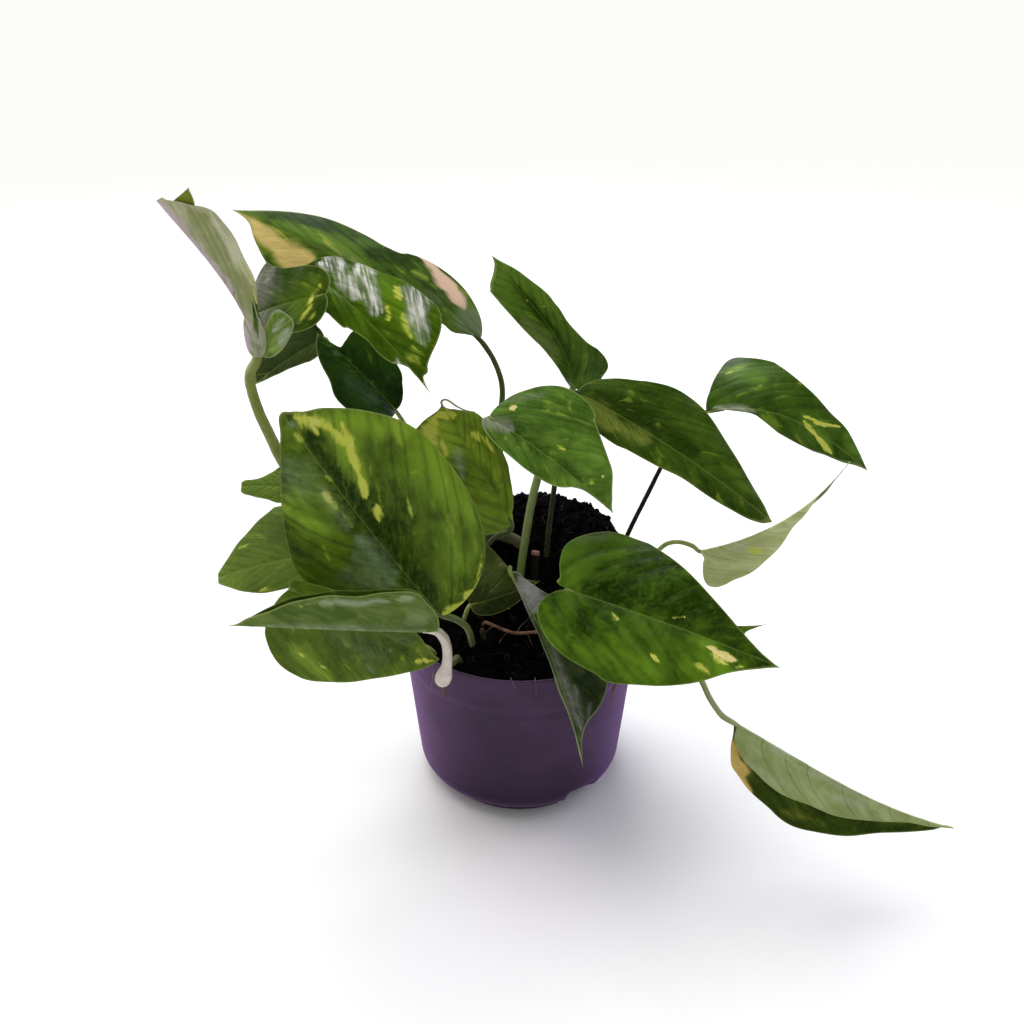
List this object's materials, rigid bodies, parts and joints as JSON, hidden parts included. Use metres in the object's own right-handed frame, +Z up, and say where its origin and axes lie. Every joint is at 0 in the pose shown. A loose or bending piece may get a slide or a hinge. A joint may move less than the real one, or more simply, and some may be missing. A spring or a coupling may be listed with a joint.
{
  "type": "potted pothos plant",
  "caption": "Potted pothos: heart-shaped variegated leaves on long stalks that stand in a raised ball of peat in a round, tapered plastic nursery pot.",
  "frame": {"origin": "centre of the pot's underside, on the surface that the pot stands on", "axes": "+Z up, +X to the right of a viewer at the plant's front, +Y away from that viewer"},
  "size_m": [0.3326, 0.1769, 0.2946],
  "materials": {
    "leaf": "waxy green leaf with yellow and cream streaks and a paler underside",
    "stalk": "smooth pale green leaf stalk",
    "cut_end": "pinkish dry cut end of a stem",
    "root": "thin brown and pinkish roots",
    "peat": "moist black peat with crumbs and fibres",
    "pot": "thin dark violet plastic with a soft sheen"
  },
  "bodies": {
    "root": {"leaf_front_right": "leaf", "leaf_left_big": "leaf", "leaf_left_fold": "leaf", "leaf_left_low": "leaf", "leaf_left_side": "leaf", "leaf_left_small": "leaf", "leaf_top_left_fold": "leaf", "leaf_top_long": "leaf", "leaf_top_glossy": "leaf", "leaf_upper_left": "leaf", "leaf_upper_small": "leaf", "leaf_upper_dark": "leaf", "leaf_back_tall": "leaf", "leaf_centre": "leaf", "leaf_centre_yellow": "leaf", "leaf_right_middle": "leaf", "leaf_right_top": "leaf", "leaf_right_pale": "leaf", "leaf_right_hidden": "leaf", "leaf_front_hanging": "leaf", "leaf_front_olive": "leaf", "leaf_right_low": "leaf", "stem_vine": "stalk", "stem_cut": "cut_end", "stem_stub": "stalk", "root_lying": "root", "root_right": "root", "peat": "peat", "pot": "pot"}
  },
  "joints": []
}
